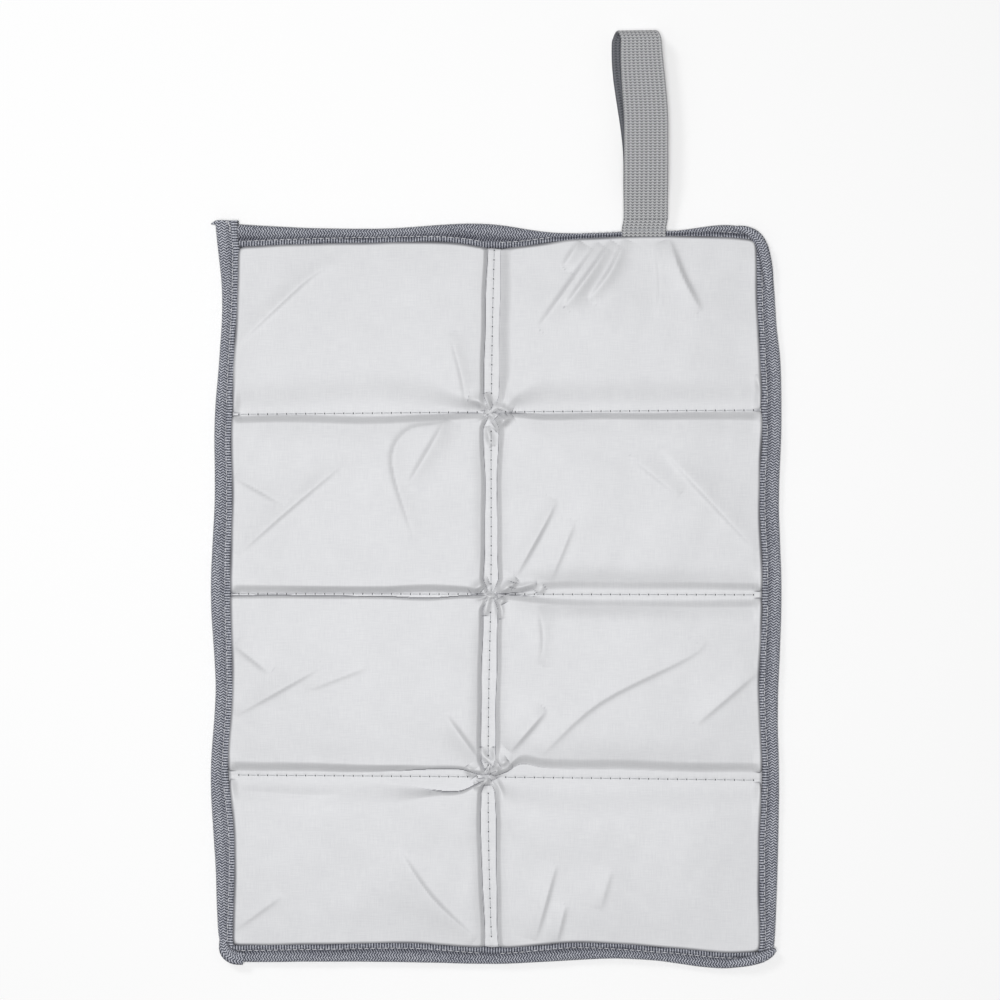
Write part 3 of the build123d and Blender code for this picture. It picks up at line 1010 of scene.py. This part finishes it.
def build_linings():
    """Spines that ride with the right-hand strips, and flaps that reach them from the panels."""
    right = (CENTRE_HIGH + 9, X_RIGHT - 10.5)
    edge = (X_RIGHT - 10.5, X_RIGHT - 3.4)
    for seam in SEAMS:
        y_span = (ROW_SEAM[seam] - SPINE_REACH[seam], ROW_SEAM[seam] + SPINE_REACH[seam])
        for name, x_span, half, material in (("spine_right", right, 0.08, COVER),
                                             ("spine_tape", edge, 0.30, TAPE)):
            spine = plates(f"{name}_{seam}", [(x_span, y_span)], half, material)
            follow(spine, f"seam_right_{seam}")
    for row in ROWS:
        y_spans = []
        if row < 4:
            y_spans.append((ROW_SEAM[row] - FLAP_PAST_SEAM[row], ROW_LOW[row] + FLAP_HOLD))
        if row > 1:
            y_spans.append((ROW_HIGH[row] - FLAP_HOLD,
                            ROW_SEAM[row - 1] + FLAP_PAST_SEAM[row - 1]))
        for name, x_span, half, material in (("flap_right", right, 0.08, COVER),
                                             ("flap_tape", edge, 0.25, TAPE)):
            flap = plates(f"{name}_{row}", [(x_span, y) for y in y_spans], half, material)
            follow(flap, f"panel_right_{row}")


# ---- threads -------------------------------------------------------------------------------------


def capsules(name, ends, radius, material):
    """Many short rounded threads in one mesh, each from one end to the other."""
    points, faces, weave = [], [], []
    rings = [(-0.9, 0.35), (-0.55, 0.85), (0, 1.0), (0.55, 0.85), (0.9, 0.35)]
    sides = 6
    for start, end in ends:
        start, end = np.array(start, float), np.array(end, float)
        axis = end - start
        length = max(float(np.linalg.norm(axis)), 1e-6)
        axis = axis / length
        across = np.cross(axis, (0, 0, 1.0))
        across = across / max(float(np.linalg.norm(across)), 1e-6)
        up = np.cross(across, axis)
        base = len(points)
        for place, share in rings:
            centre = (start + end) / 2 + axis * place * length / 2
            for k in range(sides):
                angle = math.tau * k / sides
                offset = across * math.cos(angle) + up * math.sin(angle)
                points.append(centre + offset * radius * share)
                weave.append((place * length, angle, 0))
        faces += strip_faces(len(rings), sides, base, closed=True)
        faces.append(tuple(base + k for k in range(sides - 1, -1, -1)))
        faces.append(tuple(base + (len(rings) - 1) * sides + k for k in range(sides)))
    return new_object(name, points, faces, material, weave)


def surface_z(x, y):
    """Height of the upper cloth at one point, from the ground."""
    return float(MID_Z + top_height(np.array([float(x)]), np.array([float(y)]))[0])


THREAD_LIFT = 0.14           # middle of the quilting thread above the cloth
KNOT_LIFT = 0.12             # and of a knot above the thread
KNOT_HALF = 0.3              # half length of a knot between its round ends


def sewn_seam(name, line, low, high, bodies, replaced):
    """Long thin threads and dark knots of one quilting seam; line gives its X and Y at a place."""
    def on_cloth(step):
        x, y = line(step * STITCH_PITCH)
        return x, y, surface_z(x, y) + THREAD_LIFT

    first, last = math.ceil(low / STITCH_PITCH), math.floor(high / STITCH_PITCH)
    threads = [(on_cloth(k + 0.10), on_cloth(k + 0.90)) for k in range(first, last)]
    knots = [((x - KNOT_HALF, y, z + KNOT_LIFT), (x + KNOT_HALF, y, z + KNOT_LIFT))
             for x, y, z in (on_cloth(k) for k in range(first, last + 1))]
    for label, ends, radius, material in (("thread", threads, 0.20, GREY_THREAD),
                                          ("knots", knots, 0.46, DARK_THREAD)):
        obj = capsules(f"{name}_{label}", ends, radius, material)
        follow(obj, *bodies)
        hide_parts(replaced)


def build_quilting():
    """Thread and knots of the row seams and the centre seam."""
    spans = {"left": (X_LEFT + 13, CENTRE_LOW), "right": (CENTRE_HIGH, X_RIGHT - 13)}
    for seam in SEAMS:
        for side, span in spans.items():
            sewn_seam(f"row_seam_{side}_{seam}", lambda x: (x, float(row_line(seam, x))), *span,
                      [f"seam_{side}_{seam}"], f"row_stitch_{side}_{seam}")
    for row in ROWS:
        low = ROW_LOW[row] + (12 if row == 4 else 0)
        high = ROW_HIGH[row] - (14 if row == 1 else 0)
        sewn_seam(f"centre_seam_{row}", lambda y: (float(centre_line(y)), y), low, high,
                  [f"panel_left_{row}", f"panel_right_{row}"], f"centre_stitch_{row}")


def build_tape_stitching():
    """White thread near the tape's inner edge, in short dashes."""
    pitch, length, inset = 3.4, 2.7, 3.3

    def dash(edge, middle):
        ends = []
        for place in (middle - length / 2, middle + length / 2):
            inner = float(edge_tables(edge, place)[1])
            z = MID_Z + tape_lift(edge, place) + 1.28
            ends.append((*edge_point(edge, place, inner - inset), z))
        return ends

    def add(edge, part, low, high, panel):
        steps = range(math.ceil(low / pitch), math.floor(high / pitch) + 1)
        dashes = [dash(edge, k * pitch) for k in steps]
        obj = capsules(f"tape_stitching_{edge}_{part}", dashes, 0.18, WHITE_THREAD)
        follow(obj, panel)

    for row in ROWS:
        low = ROW_LOW[row] if row < 4 else Y_BOTTOM + 10
        high = ROW_HIGH[row] if row > 1 else Y_TOP - 12
        for side in SIDES:
            add(side, row, low, high, f"panel_{side}_{row}")
    for edge, row in (("top", 1), ("bottom", 4)):
        add(edge, "left", X_LEFT + 14, CENTRE_LOW - 1, f"panel_left_{row}")
        add(edge, "right", CENTRE_HIGH + 1, X_RIGHT - 14, f"panel_right_{row}")


# ---- the elastic loop ----------------------------------------------------------------------------


LOOP_LOW, LOOP_HIGH = limits("elastic_loop")
ROOT_LOW, ROOT_HIGH = limits("loop_root")
ELASTIC_HALF = (LOOP_HIGH[0] - LOOP_LOW[0]) / 2
LOOP_X = (LOOP_LOW[0] + LOOP_HIGH[0]) / 2
ELASTIC_THICKNESS = 1.1
LOWER_Z = 0.65               # middle of the lower layer, and of the upper one
UPPER_Z = LOOP_HIGH[2] + 1.2
LAYER = 0.46                 # share of the length that each layer takes; the rest is the tip
START_APART = 0.55           # how far above or below the sewn ends' middle each layer starts


def elastic_ring(across, edge_drop):
    """Points round the webbing: (face 1 or -1, u across it from -1 to 1, rib height, thinner edge)."""
    for face in (1, -1):
        for j in range(across):
            u = face * (2 * j / (across - 1) - 1)
            rib = -RIB_HEIGHT * math.cos(math.pi * ELASTIC_RIBS * (u + 1))
            yield face, u, rib, 1 - max(0.0, (abs(u) - 0.96) / 0.04) ** 2 * edge_drop


def loop_line(share):
    """A point of the loop's middle line: distance out from the pad, height and shift to the side."""
    root_z = (ROOT_LOW[2] + ROOT_HIGH[2]) / 2
    bend = (UPPER_Z - LOWER_Z) / 2
    start_y, bend_y = LOOP_LOW[1], LOOP_HIGH[1] - bend
    if share < LAYER:
        t = share / LAYER
        z = root_z - START_APART + (LOWER_Z - root_z + START_APART) * ease(0, 0.22, t)
        return start_y + (bend_y - start_y) * t, z, 0.9 - 7.1 * ease(0.30, 1.0, t)
    if share > 1 - LAYER:
        t = (1 - share) / LAYER
        z = root_z + START_APART + (UPPER_Z - root_z - START_APART) * ease(0, 0.30, t)
        return start_y + (bend_y - start_y) * t, z, 0.8 - 2.6 * ease(0.5, 1.0, t)
    t = (share - LAYER) / (1 - 2 * LAYER)
    angle = math.pi * (t - 0.5)
    return bend_y + bend * math.cos(angle), LOWER_Z + bend * (1 + math.sin(angle)), -6.2 + 4.4 * t


def loop_ring(share, place, across):
    """Points and weave round the webbing at one share of the loop's length."""
    y, z, shift = loop_line(share)
    ahead, behind = loop_line(min(share + 0.004, 1)), loop_line(max(share - 0.004, 0))
    tangent = np.array([0, ahead[0] - behind[0], ahead[1] - behind[1]])
    tangent = tangent / np.linalg.norm(tangent)
    normal = np.array([0, -tangent[2], tangent[1]])
    middle = np.array([LOOP_X + shift, y, z])
    narrow = 1.0 - 0.10 * math.exp(-((share - 0.5) / 0.10) ** 2)
    tilt = 0.9 * ease(0.35, 0.6, share) * math.sin(math.pi * share)
    ring = []
    for face, u, rib, edge in elastic_ring(across, 0.6):
        depth = face * (ELASTIC_THICKNESS / 2 + rib) * edge
        point = middle + np.array([u * ELASTIC_HALF * narrow, 0, tilt * u]) - normal * depth
        point[2] = max(point[2], 0.02)
        # The weave's third value is painted shade: 1 on the face inside the loop, which the material
        # darkens.
        ring.append((point, ((u + 1) * ELASTIC_HALF, place, 0 if face == 1 else 1)))
    return ring


def build_loop():
    """Elastic doubled back on itself, its lower layer showing a little on the left."""
    stations, across = ((170, 80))
    shares = np.linspace(0, 1, stations)
    places = travelled(np.array([loop_line(share)[:2] for share in shares]))
    rings = [loop_ring(share, place, across) for share, place in zip(shares, places)]
    loop = swept_band("elastic_strap", rings, ELASTIC)
    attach(loop, "loop")
    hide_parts("elastic_loop")


def build_loop_root():
    """The sewn ends of the elastic over the top tape."""
    across, stations = 80, 16
    start_y, end_y = ROOT_LOW[1] + 2.0, LOOP_LOW[1] + 1.0
    bottom = ROOT_LOW[2] - 1.0
    rings = []
    for share in np.linspace(0, 1, stations):
        y = start_y + (end_y - start_y) * share
        top = ROOT_HIGH[2] + 0.15 * math.sin(math.pi * share) - 0.5 * (1 - ease(0, 0.15, share))
        top = top - 0.35 * ease(0.84, 1.0, share)
        middle_x = LOOP_X + 0.8 * ease(0.4, 0.95, share)
        ring = []
        for face, u, rib, edge in elastic_ring(across, 0.5):
            z = bottom if face == 1 else bottom + (top + rib - bottom) * edge
            ring.append(((middle_x + u * ELASTIC_HALF, y, z), ((u + 1) * ELASTIC_HALF, y, 0)))
        rings.append(ring)
    root = swept_band("loop_root_strap", rings, ELASTIC)
    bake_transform(root)
    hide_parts("loop_root")


def build_bartack():
    """A dense zigzag of thread across the sewn ends."""
    low, high = limits("bartack")
    stitches = 26
    z = low[2] + 0.12
    places = np.linspace(low[0], high[0], stitches + 1)
    corners = [(x, low[1] if k % 2 else high[1], z) for k, x in enumerate(places)]
    tack = capsules("bartack_thread", zip(corners, corners[1:]), 0.2, GREY_THREAD)
    follow(tack, "panel_right_1")
    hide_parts("bartack")


# ---- floor, lights and camera --------------------------------------------------------------------


def build_floor():
    """A plain white studio floor."""
    mesh = bpy.data.meshes.new("floor")
    size = 4.0               # metres from the middle to each side
    mesh.from_pydata([(-size, -size, 0), (size, -size, 0), (size, size, 0), (-size, size, 0)], [],
                     [(0, 1, 2, 3)])
    floor = bpy.data.objects.new("floor", mesh)
    bpy.context.collection.objects.link(floor)
    material = bpy.data.materials.new("studio_floor")
    material.use_nodes = True
    surface = material.node_tree.nodes["Principled BSDF"]
    surface.inputs["Base Color"].default_value = (0.97, 0.97, 0.97, 1)
    surface.inputs["Roughness"].default_value = 0.9
    surface.inputs["Specular IOR Level"].default_value = 0.1
    mesh.materials.append(material)


def area_light(name, place, energy, size):
    """A soft square light that looks at the pad; place and size in metres, energy in watts."""
    data = bpy.data.lights.new(name, "AREA")
    data.energy = energy
    data.size = size
    light = bpy.data.objects.new(name, data)
    light.location = place
    light.rotation_euler = (-Vector(place)).to_track_quat("-Z", "Y").to_euler()
    bpy.context.collection.objects.link(light)


def build_studio():
    """World light, two soft lights and the camera straight above the pad."""
    world = bpy.data.worlds.new("studio")
    world.use_nodes = True
    background = world.node_tree.nodes["Background"]
    background.inputs["Color"].default_value = (1, 1, 1, 1)
    background.inputs["Strength"].default_value = 0.20
    bpy.context.scene.world = world
    area_light("key_light", (-0.08, -0.10, 2.3), 40, 0.9)
    area_light("side_light", (-1.1, 1.2, 1.3), 6, 0.5)
    low, high = CAD_BOX
    centre = (low + high) / 2
    width_seen = 0.5226      # metres across the picture at the height of the pad's top
    camera = bpy.data.objects.new("camera", bpy.data.cameras.new("camera"))
    camera.data.lens = 85
    distance = width_seen * camera.data.lens / camera.data.sensor_width
    camera.location = (centre.x + 0.002, centre.y - 0.001, distance + high.z)
    bpy.context.collection.objects.link(camera)
    bpy.context.scene.camera = camera
    bpy.context.scene.view_settings.view_transform = "Standard"


build_studio()
build_floor()
build_cover()
build_tape()
build_corners()
build_linings()
build_quilting()
build_tape_stitching()
build_loop()
build_loop_root()
build_bartack()
